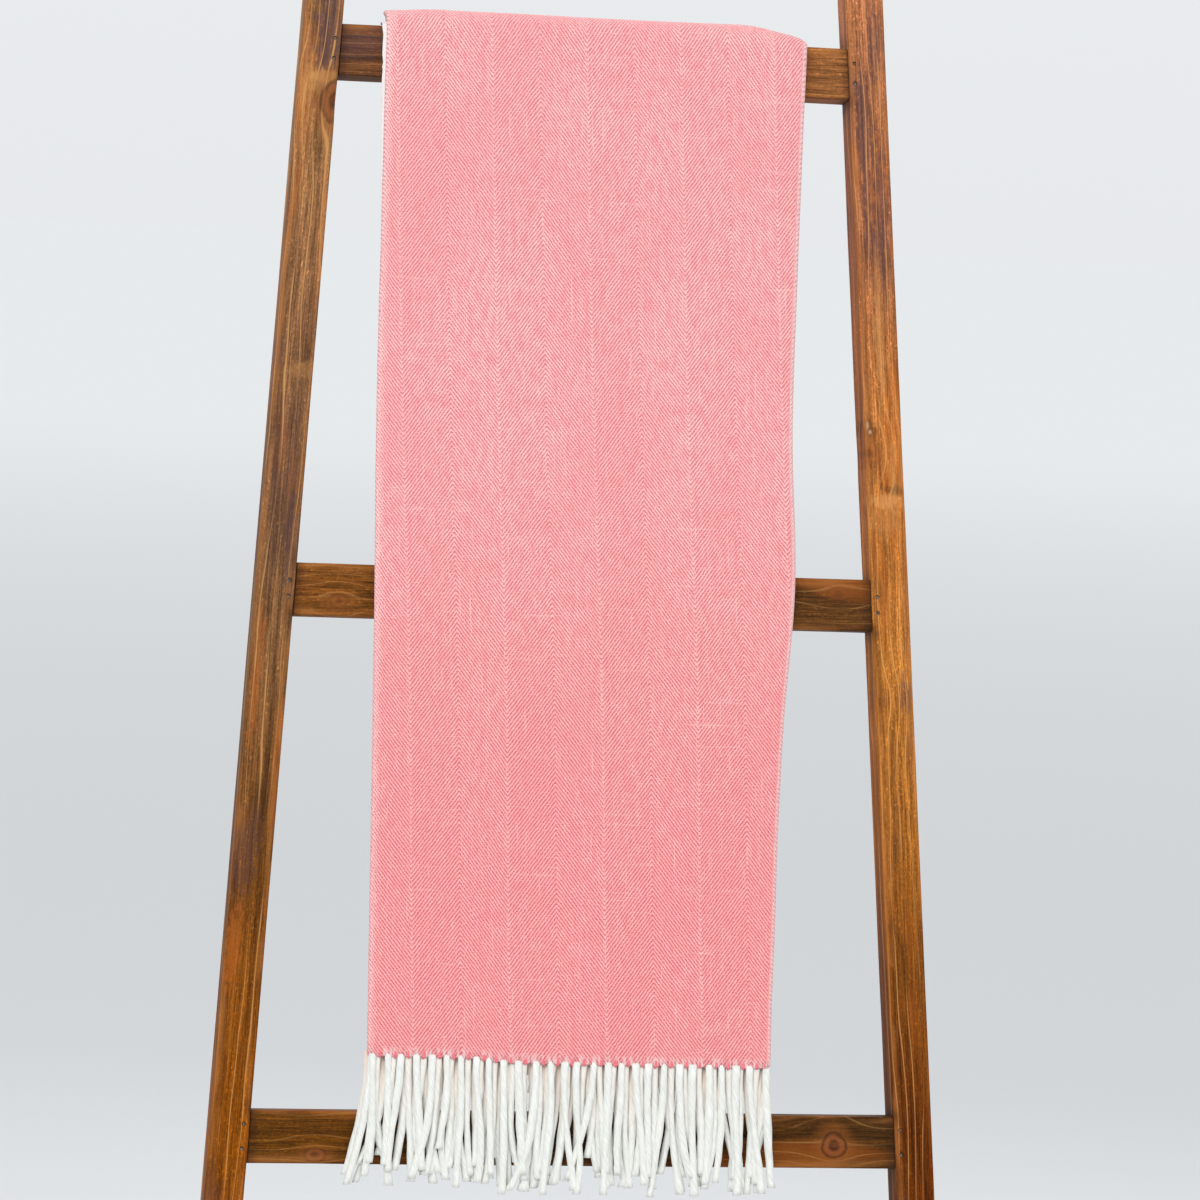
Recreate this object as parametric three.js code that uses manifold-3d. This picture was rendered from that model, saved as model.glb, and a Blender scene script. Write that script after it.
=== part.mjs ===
// A leaning blanket ladder of dark-stained pine with a folded, fringed throw hung over its top rung.
// Millimetres, +Z up. The front of the ladder faces -Y, and the wall that it leans on is on the +Y side.
import * as THREE from 'three';
import { mergeVertices } from 'three/addons/utils/BufferGeometryUtils.js';
import Module from 'manifold-3d';

const wasm = await Module();
wasm.setup();

// ladder
const leanAngle = THREE.MathUtils.degToRad(8);
const railLength = 1540;
const railWidth = 29;
const railDepth = 30;
const railEase = 1.6;
const footGap = 555;            // between the rails, at the floor
const topGap = 368;             // between the rails, at their tops
const rungCount = 4;
const firstRungHeight = 205;    // up the slope, to the middle of the lowest rung
const rungPitch = 400;
const rungHeight = 39;
const rungDepth = 28;
const rungEase = 2.4;

// mortise and tenon joints, each pinned by two brads
const tenonLength = 17;
const tenonDepth = 12;
const tenonShoulder = 6;        // above and below the tenon
const jointClearance = 0.3;
const bradLength = 25;
const bradShankRadius = 0.9;
const bradHeadRadius = 1.3;
const bradHeadHeight = 1.2;
const bradTipLength = 2;
const bradSunk = 0.5;
const bradInset = 4.5;          // from the inner edge of the rail
const bradSpacings = [16, 18, 12, 15];

// throw, folded in four along its length and hung over the top rung
const throwWidth = 317.5;
const clothLayers = 4;
const layerThickness = 2.4;
const throwClearance = 0.5;
const frontDrop = 762;          // down the slope, from the top of the rung to the hem
const backDrop = 730;           // straight down, from the top of the rung to the hem
const crownRise = 4.5;          // air under the bend, over the middle of the rung
const crownSteps = 10;
const fringeLength = 92;
const fringeDepth = 7;
const fringeInset = 3;
const fringeGap = 0.4;

// named fits
const railTaper = Math.atan((footGap - topGap) / 2 / railLength);
const tenonHeight = rungHeight - 2 * tenonShoulder;
const throwDepth = clothLayers * layerThickness;
const topRung = rungCount - 1;

const stain = { color: 0x7a4a22, roughness: 0.7, metalness: 0 };
const rungStain = { color: 0x6b4020, roughness: 0.7, metalness: 0 };
const steel = { color: 0x2a2624, roughness: 0.5, metalness: 0.8 };
const coral = { color: 0xf0a0a0, roughness: 0.9, metalness: 0 };
const undyed = { color: 0xe8e6e0, roughness: 0.9, metalness: 0 };

function rungAt(index) {
  return firstRungHeight + index * rungPitch;
}

// half the clear width between the rails, at a height up the slope
function innerHalf(height) {
  return footGap / 2 - height * Math.tan(railTaper);
}

function toSolid(geometry) {
  const bare = geometry.clone();
  bare.deleteAttribute('normal');
  bare.deleteAttribute('uv');
  const merged = mergeVertices(bare, 1e-4);
  return new wasm.Manifold(new wasm.Mesh({
    numProp: 3,
    vertProperties: new Float32Array(merged.attributes.position.array),
    triVerts: new Uint32Array(merged.index.array),
  }));
}

function toGeometry(solid) {
  const mesh = solid.getMesh();
  const geometry = new THREE.BufferGeometry();
  geometry.setAttribute('position', new THREE.BufferAttribute(new Float32Array(mesh.vertProperties), 3));
  geometry.setIndex(new THREE.BufferAttribute(new Uint32Array(mesh.triVerts), 1));
  geometry.computeVertexNormals();
  return geometry;
}

function named(name, geometry, finish) {
  const mesh = new THREE.Mesh(geometry, new THREE.MeshStandardMaterial(finish));
  mesh.name = name;
  return mesh;
}

// a rectangle with rounded corners, centred on its own origin
function easedRectangle(width, height, radius) {
  const x = width / 2;
  const y = height / 2;
  const shape = new THREE.Shape();
  shape.moveTo(-x + radius, -y);
  shape.lineTo(x - radius, -y);
  shape.absarc(x - radius, -y + radius, radius, -Math.PI / 2, 0, false);
  shape.lineTo(x, y - radius);
  shape.absarc(x - radius, y - radius, radius, 0, Math.PI / 2, false);
  shape.lineTo(-x + radius, y);
  shape.absarc(-x + radius, y - radius, radius, Math.PI / 2, Math.PI, false);
  shape.lineTo(-x, -y + radius);
  shape.absarc(-x + radius, -y + radius, radius, Math.PI, 1.5 * Math.PI, false);
  return shape;
}

// one rail before its joints are cut, with its inner face on the taper; side is -1 or 1
function railBlank(side, grow) {
  const below = railDepth;      // spare length under the floor, cut away later
  const bevel = railEase * 0.75;
  const section = easedRectangle(railWidth + 2 * grow, railDepth + 2 * grow, railEase + grow);
  const blank = new THREE.ExtrudeGeometry(section, {
    depth: railLength + below - 2 * bevel,
    bevelEnabled: true,
    bevelSize: bevel,
    bevelThickness: bevel,
    bevelOffset: -bevel,
    bevelSegments: 2,
    curveSegments: 3,
  });
  blank.translate(side * railWidth / 2, 0, bevel - below);
  blank.rotateY(-side * railTaper);
  blank.translate(side * footGap / 2, 0, 0);
  return toSolid(blank);
}

// the part of space under the floor, in the ladder's own leaning frame
function underFloor() {
  const size = footGap + 4 * railWidth;
  const block = new THREE.BoxGeometry(2 * size, 2 * size, size);
  block.translate(0, 0, -size / 2);
  block.rotateX(leanAngle);
  return toSolid(block);
}

function tenon(height, grow) {
  const length = 2 * (innerHalf(height) + tenonLength + grow);
  const block = new THREE.BoxGeometry(length, tenonDepth + 2 * grow, tenonHeight + 2 * grow);
  block.translate(0, 0, height);
  return toSolid(block);
}

// a brad's outline turned about its own length, head first at the origin and point along +Y
function bradShape(grow, length) {
  const profile = [
    new THREE.Vector2(0, 0),
    new THREE.Vector2(bradHeadRadius + grow, 0),
    new THREE.Vector2(bradHeadRadius + grow, bradHeadHeight + grow),
    new THREE.Vector2(bradShankRadius + grow, bradHeadHeight + grow),
    new THREE.Vector2(bradShankRadius + grow, length - bradTipLength + grow),
    new THREE.Vector2(0, length + grow),
  ];
  return new THREE.LatheGeometry(profile, 10);
}

// where the two brads of one joint sit, on the front face of a rail
function bradPlaces(side, index) {
  return [1, -1].map((up) => {
    const height = rungAt(index) + up * bradSpacings[index] / 2;
    const x = side * (innerHalf(height) + bradInset);
    return new THREE.Vector3(x, -railDepth / 2 + bradSunk, height);
  });
}

function bradHole(place) {
  const hole = bradShape(jointClearance, bradLength);
  hole.translate(place.x, place.y, place.z);
  const mouth = new THREE.CylinderGeometry(
    bradHeadRadius + jointClearance, bradHeadRadius + jointClearance, 4 * bradSunk, 10);
  mouth.translate(place.x, place.y - bradSunk, place.z);
  return toSolid(hole).add(toSolid(mouth));
}

function bradHolesNear(solid, side, index) {
  let drilled = solid;
  for (const place of bradPlaces(side, index)) {
    drilled = drilled.subtract(bradHole(place));
  }
  return drilled;
}

function railGeometry(side) {
  let rail = railBlank(side, 0).subtract(underFloor());
  for (let index = 0; index < rungCount; index += 1) {
    rail = rail.subtract(tenon(rungAt(index), jointClearance));
    rail = bradHolesNear(rail, side, index);
  }
  return toGeometry(rail);
}

function rungGeometry(index) {
  const height = rungAt(index);
  const blankLength = 2 * (innerHalf(height) + tenonLength);
  const board = new THREE.ExtrudeGeometry(easedRectangle(rungHeight, rungDepth, rungEase), {
    depth: blankLength,
    bevelEnabled: false,
    curveSegments: 3,
  });
  board.translate(0, 0, -blankLength / 2);
  board.rotateY(Math.PI / 2);
  board.translate(0, 0, height);
  let rung = toSolid(board);
  for (const side of [-1, 1]) {
    rung = rung.subtract(railBlank(side, jointClearance));
    rung = rung.subtract(beyondRail(side, height));
  }
  rung = rung.add(tenon(height, 0));
  for (const side of [-1, 1]) {
    rung = bradHolesNear(rung, side, index);
  }
  return toGeometry(rung);
}

// everything outside the middle of a rail, which a rung's full section never reaches
function beyondRail(side, height) {
  const size = 4 * railWidth;
  const block = new THREE.BoxGeometry(size, size, size);
  block.translate(side * (innerHalf(height) + railWidth / 4 + size / 2), 0, height);
  return toSolid(block);
}

// The throw's line of travel, seen from the side, at a distance out from the rung: the foot of the
// front panel, up the slope, over the bend, and straight down to the foot of the back panel.
// Points are (y, z) in the upright frame, with the ladder's foot at the origin.
function drapeLine(out, frontEnd, backEnd) {
  const lean = (y, height) => new THREE.Vector2(
    y * Math.cos(leanAngle) + height * Math.sin(leanAngle),
    height * Math.cos(leanAngle) - y * Math.sin(leanAngle));
  const rungTop = rungAt(topRung) + rungHeight / 2;
  const reach = rungDepth / 2 + throwClearance + out;
  const front = lean(-reach, rungTop - rungEase);
  const rear = lean(rungDepth / 2, rungTop - rungEase);
  rear.x += throwClearance + out;
  const rise = rungEase + throwClearance + crownRise + out;
  const roundness = 1.3;
  const uphill = lean(0, rise * roundness).sub(lean(0, 0));
  const bend = new THREE.CubicBezierCurve(
    front,
    front.clone().add(uphill),
    new THREE.Vector2(rear.x, rear.y + rise * roundness),
    rear);
  return [
    lean(-reach, rungTop - frontEnd),
    ...bend.getPoints(crownSteps),
    new THREE.Vector2(rear.x, rear.y - backEnd),
  ];
}

function sideOutline(points) {
  return new THREE.Shape(points);
}

// extrudes an outline drawn in (y, z) to a width along X, centred
function acrossRungs(outline, width) {
  const geometry = new THREE.ExtrudeGeometry(outline, { depth: width, bevelEnabled: false });
  geometry.translate(0, 0, -width / 2);
  geometry.rotateY(Math.PI / 2);
  geometry.rotateX(Math.PI / 2);
  return geometry;
}

function throwGeometry() {
  const inner = drapeLine(0, frontDrop, backDrop);
  const outer = drapeLine(throwDepth, frontDrop, backDrop);
  return acrossRungs(sideOutline([...inner, ...outer.reverse()]), throwWidth);
}

// a thin block that the tassels of one hem hang in, carrying on from the end of a panel
function fringeGeometry(panel) {
  const start = (throwDepth - fringeDepth) / 2;
  const ends = panel === 'front'
    ? [[frontDrop + fringeGap, 0], [frontDrop + fringeGap + fringeLength, 0]]
    : [[0, backDrop + fringeGap], [0, backDrop + fringeGap + fringeLength]];
  const corners = ends.flatMap(([frontEnd, backEnd], row) => {
    const outs = row === 0 ? [start, start + fringeDepth] : [start + fringeDepth, start];
    return outs.map((out) => {
      const line = drapeLine(out, frontEnd, backEnd);
      return panel === 'front' ? line[0] : line[line.length - 1];
    });
  });
  return acrossRungs(sideOutline(corners), throwWidth - 2 * fringeInset);
}

function buildLadder() {
  const ladder = new THREE.Group();
  for (const [sideName, side] of [['left', -1], ['right', 1]]) {
    ladder.add(named(`rail_${sideName}`, railGeometry(side), stain));
    for (let index = 0; index < rungCount; index += 1) {
      bradPlaces(side, index).forEach((place, row) => {
        const brad = named(`brad_${sideName}_${index + 1}_${row === 0 ? 'upper' : 'lower'}`,
          bradShape(0, bradLength), steel);
        brad.position.copy(place);
        ladder.add(brad);
      });
    }
  }
  for (let index = 0; index < rungCount; index += 1) {
    ladder.add(named(`rung_${index + 1}`, rungGeometry(index), rungStain));
  }
  ladder.rotation.x = -leanAngle;
  return ladder;
}

function buildThrow() {
  const hung = new THREE.Group();
  hung.add(named('throw', throwGeometry(), coral));
  hung.add(named('fringe_front', fringeGeometry('front'), undyed));
  hung.add(named('fringe_back', fringeGeometry('back'), undyed));
  return hung;
}

// stands the whole piece on the floor, with its box centred over the origin
function centred(model) {
  model.updateMatrixWorld(true);
  const box = new THREE.Box3().setFromObject(model, true);
  const middle = box.getCenter(new THREE.Vector3());
  model.position.set(-middle.x, -middle.y, -box.min.z);
  return model;
}

const blanketLadder = new THREE.Group();
blanketLadder.add(buildLadder());
blanketLadder.add(buildThrow());
centred(blanketLadder);

export default blanketLadder;
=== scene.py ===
import math
import random

import bmesh
import bpy
from mathutils import Euler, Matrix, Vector, noise


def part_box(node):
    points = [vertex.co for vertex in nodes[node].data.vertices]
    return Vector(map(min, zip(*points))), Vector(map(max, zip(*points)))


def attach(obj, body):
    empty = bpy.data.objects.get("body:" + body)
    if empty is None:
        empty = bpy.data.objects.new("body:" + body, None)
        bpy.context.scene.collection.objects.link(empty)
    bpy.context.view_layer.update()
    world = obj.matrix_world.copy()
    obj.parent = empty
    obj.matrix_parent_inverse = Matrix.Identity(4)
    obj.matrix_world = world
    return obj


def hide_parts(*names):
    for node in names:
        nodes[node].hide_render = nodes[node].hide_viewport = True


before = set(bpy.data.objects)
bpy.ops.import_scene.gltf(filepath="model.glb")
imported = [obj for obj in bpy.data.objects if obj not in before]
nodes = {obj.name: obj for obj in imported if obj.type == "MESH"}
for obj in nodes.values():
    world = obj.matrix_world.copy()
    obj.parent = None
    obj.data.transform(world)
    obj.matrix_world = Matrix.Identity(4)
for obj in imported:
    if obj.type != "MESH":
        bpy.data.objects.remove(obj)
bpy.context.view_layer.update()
scene = bpy.context.scene
print("frame loaded,", len(nodes), "nodes")

# camera
view = {
    "place": (-0.565, -3.354, 1.270),   # a little left of the ladder, about 3.3 m off
    "lookDown": 4.59,                   # degrees
    "turnRight": 9.68,
    "tilt": 2.47,
    "lens": 139.0,
}
cameraData = bpy.data.cameras.new("camera")
cameraData.lens = view["lens"]
cameraData.sensor_width = 36
camera = bpy.data.objects.new("camera", cameraData)
scene.collection.objects.link(camera)
aim = Euler((math.radians(90 - view["lookDown"]), 0, -math.radians(view["turnRight"]))).to_matrix()
camera.matrix_world = (aim @ Euler((0, 0, math.radians(view["tilt"]))).to_matrix()).to_4x4()
camera.location = view["place"]
scene.camera = camera

# small helpers
# adds and joins the nodes of one material, or of the world
class Wiring:
    def __init__(self, name, kind="materials", surface="Principled BSDF"):
        self.owner = getattr(bpy.data, kind).new(name)
        self.owner.use_nodes = True
        self.tree = self.owner.node_tree
        self.surface = self.tree.nodes[surface]

    def put(self, socket, value):
        if isinstance(value, bpy.types.NodeSocket):
            self.tree.links.new(value, socket)
        else:
            socket.default_value = value

    # a node with its first inputs given in order
    def node(self, kind, *values, **settings):
        made = self.tree.nodes.new("ShaderNode" + kind)
        for key, setting in settings.items():
            setattr(made, key, setting)
        for socket, value in zip(made.inputs, values):
            self.put(socket, value)
        return made

    # a node with its inputs given by name
    def named(self, kind, **values):
        made = self.node(kind)
        for key, value in values.items():
            self.put(made.inputs[key], value)
        return made.outputs[0]

    def math(self, operation, a, b=0.0):
        return self.node("Math", a, b, operation=operation).outputs[0]

    def plus(self, a, b):
        return self.math("ADD", a, b)

    def minus(self, a, b):
        return self.math("SUBTRACT", a, b)

    def times(self, a, b):
        return self.math("MULTIPLY", a, b)

    # adds up its parts, each times its own weight
    def total(self, *parts):
        whole = 0.0
        for part, weight in parts:
            whole = self.plus(whole, self.times(part, weight))
        return whole

    def vector(self, operation, a, b=(0, 0, 0), output="Vector"):
        return self.node("VectorMath", a, b, operation=operation).outputs[output]

    def place(self, kind):
        return self.node("TexCoord").outputs[kind]

    def apart(self, vector):
        return self.node("SeparateXYZ", vector).outputs

    def together(self, x, y, z):
        return self.node("CombineXYZ", x, y, z).outputs[0]

    def noise(self, vector, scale=1.0, detail=3.0, roughness=0.55):
        return self.named("TexNoise", Vector=vector, Scale=scale, Detail=detail, Roughness=roughness)

    # noise drawn out by a different amount each way
    def grain(self, place, stretch, detail=2.0, roughness=0.55):
        return self.noise(self.vector("MULTIPLY", place, stretch), 1.0, detail, roughness)

    def span(self, value, low, high, toLow=0.0, toHigh=1.0, smooth=False):
        curve = "SMOOTHSTEP" if smooth else "LINEAR"
        return self.node("MapRange", value, low, high, toLow, toHigh, interpolation_type=curve).outputs[0]

    def mix(self, share, a, b, blend="MIX"):
        node = self.node("Mix", data_type="RGBA", blend_type=blend)
        self.put(node.inputs["Factor"], share)
        for socket, colour in zip(node.inputs[6:8], (a, b)):
            self.put(socket, colour if isinstance(colour, bpy.types.NodeSocket) else (*colour, 1))
        return node.outputs[2]

    # lays tints over a tone, each where its own unevenness says
    def tinted(self, tone, *tints):
        for unevenness, begin, full, share, tint in tints:
            tone = self.mix(self.span(unevenness, begin, full, 0.0, share), tone, rgb(*tint))
        return tone

    def attribute(self, name):
        return self.node("Attribute", attribute_name=name).outputs["Vector"]

    def bump(self, height, distance, strength):
        slope = self.named("Bump", Strength=strength, Distance=distance, Height=height)
        self.put(self.surface.inputs["Normal"], slope)

    def finish(self, **sockets):
        for name, value in sockets.items():
            self.put(self.surface.inputs[name.replace("_", " ")], value)
        return self.owner


# smooth unevenness, from -1 to 1, by place
def uneven(x, y, z):
    return noise.noise(Vector((x, y, z)))


def between(a, b, share):
    return a + (b - a) * share


# screen colour, 0 to 255, as the linear colour that a shader takes
def rgb(red, green, blue):
    def linear(c):
        c /= 255
        return c / 12.92 if c <= 0.04045 else ((c + 0.055) / 1.055) ** 2.4
    return linear(red), linear(green), linear(blue)


def makeObject(name, points, faces, material):
    mesh = bpy.data.meshes.new(name)
    mesh.from_pydata(points, [], faces)
    mesh.update()
    made = bpy.data.objects.new(name, mesh)
    scene.collection.objects.link(made)
    mesh.materials.append(material)
    mesh.polygons.foreach_set("use_smooth", [True] * len(mesh.polygons))
    return made


# each attribute is one vector for every point of the mesh
def writeAttributes(made, **attributes):
    for key, values in attributes.items():
        layer = made.data.attributes.new(key, "FLOAT_VECTOR", "POINT")
        layer.data.foreach_set("vector", [c for value in values for c in value])


def faceOutward(made):
    bm = bmesh.new()
    bm.from_mesh(made.data)
    bmesh.ops.recalc_face_normals(bm, faces=bm.faces)
    bm.to_mesh(made.data)
    bm.free()


def applyModifiers(made):
    graph = bpy.context.evaluated_depsgraph_get()
    solid = bpy.data.meshes.new_from_object(made.evaluated_get(graph))
    made.modifiers.clear()
    made.data = solid
    return made


# light and floor
studio = {
    "horizon": (0.800, 0.820, 0.835),
    "overhead": (0.98, 1.0, 1.02),
    "floorFar": (0.849, 0.857, 0.855),
    "floorNear": (0.66, 0.67, 0.68),
    "floorReach": 400,
    "key": 52,
    "keyPlace": (-1.7, -2.6, 2.9),
    "keySize": 2.2,
    "fill": 14,
    "fillPlace": (2.3, -2.2, 1.6),
    "fillSize": 2.0,
    "back": 14,
    "backPlace": (0.6, 2.4, 2.2),
    "backSize": 2.0,
    "target": (0, 0, 0.95),
}
for lampName in ("key", "fill", "back"):
    lampData = bpy.data.lights.new(lampName + "Light", "AREA")
    lampData.energy = studio[lampName]
    lampData.size = studio[lampName + "Size"]
    lamp = bpy.data.objects.new(lampName + "Light", lampData)
    lamp.location = studio[lampName + "Place"]
    aim = Vector(studio["target"]) - lamp.location
    lamp.rotation_euler = aim.to_track_quat("-Z", "Y").to_euler()
    scene.collection.objects.link(lamp)


# the sky pales from the horizon upwards
def paleRoom():
    w = Wiring("paleRoom", "worlds", "Background")
    climb = w.span(w.apart(w.place("Generated"))[2], 0.0, 0.8)
    return w.finish(Color=w.mix(climb, studio["horizon"], studio["overhead"]))


# the floor darkens a little towards the ladder, and meets the sky without a line
def paleFloor():
    w = Wiring("floorPaint")
    place = w.place("Object")
    away = w.span(w.vector("LENGTH", place, output="Value"), 3.0, 26.0, smooth=True)
    tone = w.mix(away, studio["floorNear"], studio["floorFar"])
    return w.finish(Base_Color=tone, Roughness=1.0, Specular_IOR_Level=0.0)


reach = studio["floorReach"]
floorCorners = [(-reach, -reach, 0), (reach, -reach, 0), (reach, reach, 0), (-reach, reach, 0)]
scene.world = paleRoom()
scene.view_settings.view_transform = "Standard"
floor = makeObject("floor", floorCorners, [(0, 1, 2, 3)], paleFloor())
print("camera, light and floor")


# the ladder's own directions
ladder = {
    "tenonLength": 0.017,
    "railWidth": 0.029,
    "railDepth": 0.030,
    "rungDepth": 0.028,
    "rungHeight": 0.039,
    "tenonHeight": 0.027,
    "tenonDepth": 0.012,
    "shoulderGap": 0.0003,
    "mortiseGap": 0.0003,
}
brad = {
    "gap": 0.0003,
    "headDepth": 0.0018,      # below the rail's face
    "tipDepth": 0.0262,
    "shankInset": 0.0001,     # the hole under the head is this much narrower than the head
    "holeSides": 18,
}
railWidth, railDepth = ladder["railWidth"], ladder["railDepth"]
rungHeight, rungDepth = ladder["rungHeight"], ladder["rungDepth"]
rungNames = ["rung_1", "rung_2", "rung_3", "rung_4"]
rungBoxes = [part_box(name) for name in rungNames]
rungMiddles = [(low + high) / 2 for low, high in rungBoxes]
climb = rungMiddles[-1] - rungMiddles[0]
leanAngle = math.atan2(climb.y, climb.z)
upSlope = Vector((0, math.sin(leanAngle), math.cos(leanAngle)))
outFront = Vector((0, -math.cos(leanAngle), math.sin(leanAngle)))
rungHeights = [middle.z / math.cos(leanAngle) for middle in rungMiddles]
footPoint = rungMiddles[0] - upSlope * rungHeights[0]
rungHalves = [high.x - ladder["tenonLength"] for low, high in rungBoxes]
taper = (rungHalves[0] - rungHalves[-1]) / (rungHeights[-1] - rungHeights[0])
footHalf = rungHalves[0] + taper * rungHeights[0]
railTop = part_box("rail_left")[1].z
railLength = (railTop - railDepth / 2 * math.sin(leanAngle)) / math.cos(leanAngle)


# a point given across the ladder, out from its middle plane and up its slope
def spot(x, out, up):
    return footPoint + Vector((x, 0, 0)) + outFront * out + upSlope * up


def innerHalf(up):
    return footHalf - taper * up


print("ladder leans", round(math.degrees(leanAngle), 2), "degrees, rails", round(railLength, 3), "m")


# stained pine
pine = {
    "lineTone": rgb(232, 172, 104),       # late wood takes less stain
    "orange": rgb(186, 98, 34),
    "plum": rgb(80, 58, 60),
    "tan": rgb(196, 140, 82),
    "dark": rgb(52, 29, 16),
    "chip": rgb(190, 180, 152),           # bare torn fibres that took no stain
    "knotHeart": rgb(130, 70, 38),
    "ringsPerMetre": 125,
    "roughness": 0.56,
}
boardSpacing = 10.0     # keeps each board's grain apart from the next one's
boardOrder = ["rail_left", "rail_right", *rungNames]
# how the stain took, with a painted sheen that makes the rails lighter and greyer towards the top: height
# along the board, then its screen colour
stainAndSheenStops = {
    "rail_left": ((0.0, (118, 64, 10)), (0.62, (140, 75, 2)), (0.80, (108, 64, 20)),
                  (0.98, (118, 81, 49)), (1.22, (131, 90, 59)), (1.40, (154, 107, 64)),
                  (1.54, (144, 100, 66))),
    "rail_right": ((0.0, (108, 56, 8)), (0.62, (97, 44, 0)), (0.78, (142, 82, 24)),
                   (0.95, (182, 114, 46)), (1.16, (180, 110, 54)), (1.28, (158, 98, 64)),
                   (1.45, (172, 108, 70)), (1.54, (150, 94, 62))),
    "rung_1": ((0.0, (100, 58, 10)), (0.55, (92, 56, 14))),
    "rung_2": ((0.0, (98, 56, 6)), (0.5, (70, 42, 12))),
    "rung_3": ((0.0, (122, 72, 24)), (0.45, (88, 54, 22))),
    "rung_4": ((0.0, (98, 60, 36)), (0.4, (152, 96, 52))),
}
# board, along it, across it, half length, half width, depth of colour: in metres from the board's start
knots = [
    ("rail_left", 1.366, 0.0125, 0.015, 0.0085, 0.9),
    ("rail_left", 0.330, 0.0040, 0.012, 0.0060, 0.8),
    ("rail_right", 1.119, -0.0118, 0.011, 0.0085, 0.55),
    ("rail_right", 0.934, -0.0110, 0.010, 0.0050, 0.25),
    ("rail_right", 0.250, -0.0060, 0.011, 0.0060, 0.8),
    ("rung_1", 0.180, 0.0040, 0.010, 0.0080, 0.9),
    ("rung_2", 0.452, -0.0020, 0.0085, 0.0092, 1.0),
    ("rung_2", 0.066, -0.0130, 0.008, 0.0050, 0.8),
    ("rung_3", 0.050, -0.0080, 0.007, 0.0050, 0.5),
    ("rung_3", 0.425, 0.0080, 0.009, 0.0050, 0.35),
    ("rung_4", 0.300, 0.0020, 0.010, 0.0060, 0.7),
]
# smaller marks, given in the same way, with the colour they take last
marks = [
    ("rail_left", 1.425, 0.007, 0.034, 0.011, 0.85, "plum"),
    ("rail_left", 1.180, -0.012, 0.014, 0.004, 0.5, "plum"),
    ("rail_left", 1.030, 0.009, 0.035, 0.006, 0.5, "plum"),
    ("rail_left", 0.810, -0.006, 0.030, 0.008, 0.55, "plum"),
    ("rail_right", 1.300, 0.006, 0.050, 0.006, 0.85, "plum"),
    ("rail_right", 1.330, -0.005, 0.080, 0.005, 0.9, "plum"),
    ("rail_right", 1.430, 0.007, 0.030, 0.007, 0.8, "plum"),
    ("rail_right", 1.395, -0.013, 0.018, 0.004, 0.7, "plum"),
    ("rail_right", 0.942, 0.007, 0.018, 0.006, 0.75, "plum"),
    ("rung_4", 0.040, 0.006, 0.045, 0.012, 0.5, "plum"),
    ("rail_left", 1.384, 0.006, 0.0035, 0.012, 0.6, "tan"),
    ("rail_left", 1.381, -0.002, 0.0080, 0.007, 0.5, "tan"),
    ("rail_left", 1.375, -0.009, 0.022, 0.0045, 0.5, "tan"),
    ("rail_left", 1.166, 0.006, 0.0060, 0.012, 0.34, "tan"),
    ("rail_left", 1.085, -0.002, 0.065, 0.013, 0.34, "plum"),
    ("rail_left", 0.930, -0.008, 0.050, 0.0045, 0.5, "orange"),
    ("rail_left", 0.740, -0.008, 0.030, 0.006, 0.5, "orange"),
    ("rail_right", 1.092, 0.008, 0.0050, 0.0090, 0.95, "dark"),
    ("rail_right", 1.084, 0.001, 0.0060, 0.0140, 0.42, "lineTone"),
    ("rail_right", 1.070, -0.002, 0.0120, 0.0120, 0.30, "tan"),
    ("rail_right", 1.137, -0.010, 0.0080, 0.0060, 0.8, "dark"),
    ("rail_right", 1.140, -0.0122, 0.0028, 0.0011, 0.75, "chip"),
    ("rail_right", 1.135, -0.0100, 0.0016, 0.0015, 0.75, "chip"),
    ("rail_right", 1.200, 0.000, 0.060, 0.004, 0.5, "tan"),
    ("rail_right", 1.100, 0.006, 0.030, 0.003, 0.5, "tan"),
]


# the colour the stain left on a board at one place along it, with the painted sheen that pales the rails
# towards the top
def stainTone(board, along):
    stops = stainAndSheenStops[board]
    for (low, lowTone), (high, highTone) in zip(stops, stops[1:]):
        if along <= high:
            break
    share = min(max((along - low) / (high - low), 0), 1)
    return [between(p, q, share) for p, q in zip(rgb(*lowTone), rgb(*highTone))]


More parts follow.
